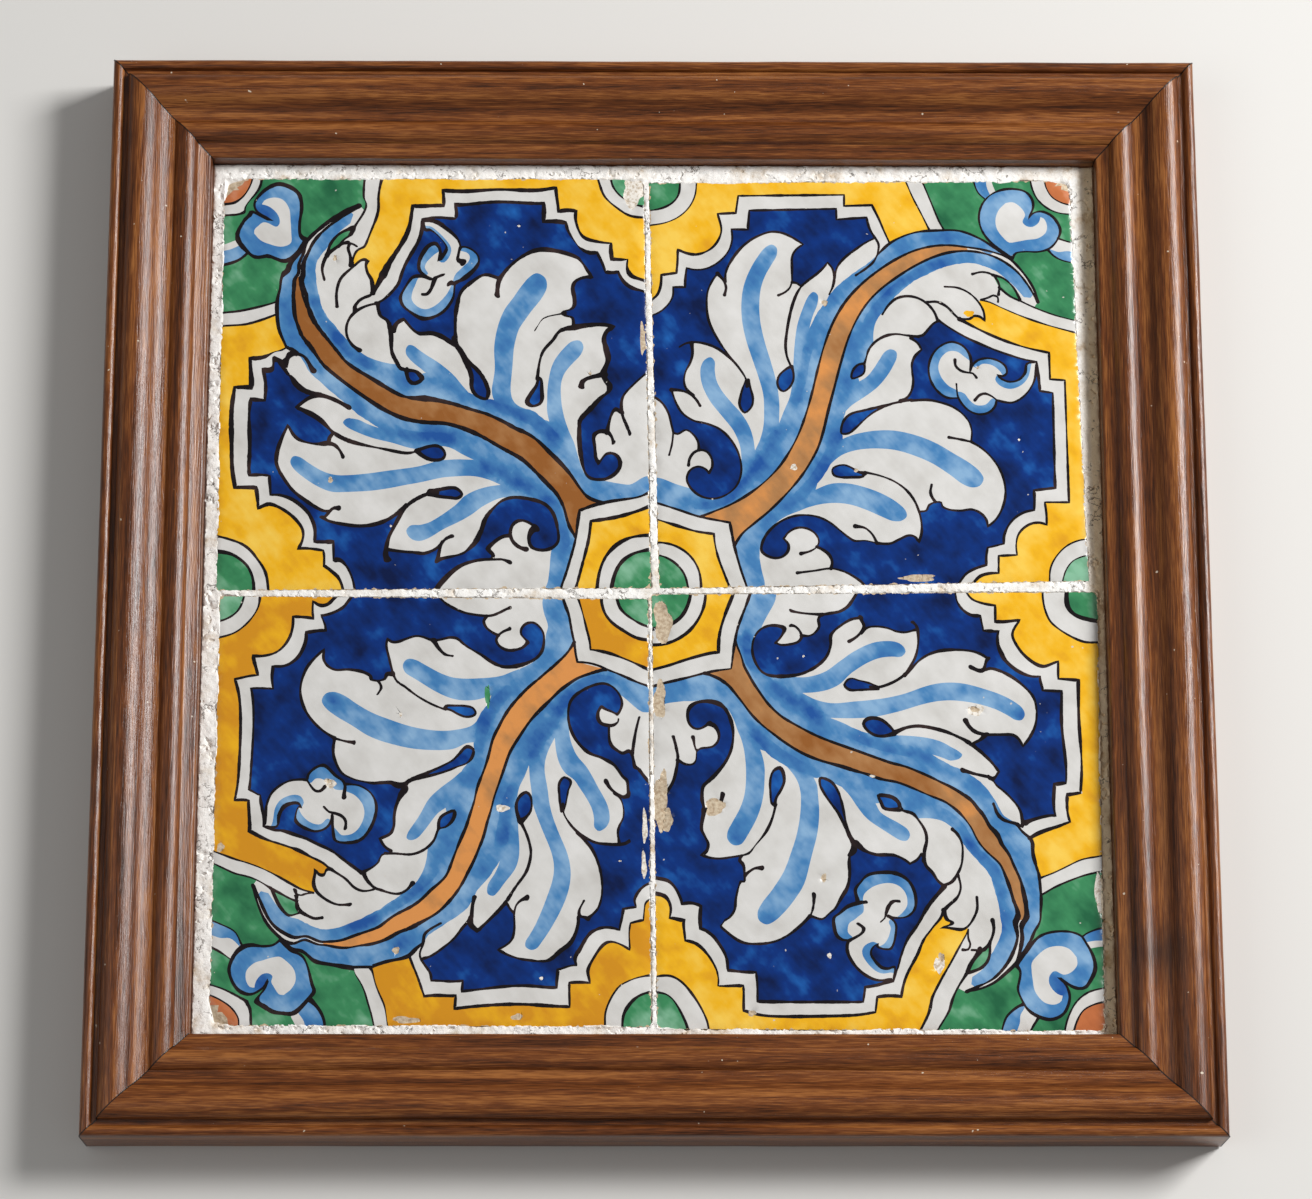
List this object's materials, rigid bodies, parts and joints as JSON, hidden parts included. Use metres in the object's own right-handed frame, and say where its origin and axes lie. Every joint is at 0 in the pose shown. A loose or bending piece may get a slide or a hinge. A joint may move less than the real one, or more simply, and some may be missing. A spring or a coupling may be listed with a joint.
{
  "type": "framed tile panel",
  "caption": "Square panel of painted tin-glazed tiles bedded in lime mortar, held in a moulded and mitred wooden frame with a plain back board.",
  "frame": {"origin": "middle of the back of the frame, on the plane the panel rests on when it lies face up", "axes": "+Z out of the glazed face, +X right and +Y up as the panel is looked at"},
  "size_m": [0.5072, 0.5072, 0.0375],
  "materials": {
    "tile_glaze": "hand-painted tin glaze, glossy",
    "lime_mortar": "rough lime mortar, matt",
    "frame_wood": "brown stain under satin varnish",
    "board_wood": "bare board, matt"
  },
  "bodies": {
    "root": {"tile_top_left": "tile_glaze", "tile_top_right": "tile_glaze", "tile_bottom_left": "tile_glaze", "tile_bottom_right": "tile_glaze", "mortar_bed": "lime_mortar", "frame_bottom": "frame_wood", "frame_right": "frame_wood", "frame_top": "frame_wood", "frame_left": "frame_wood", "back_board": "board_wood"}
  },
  "joints": []
}
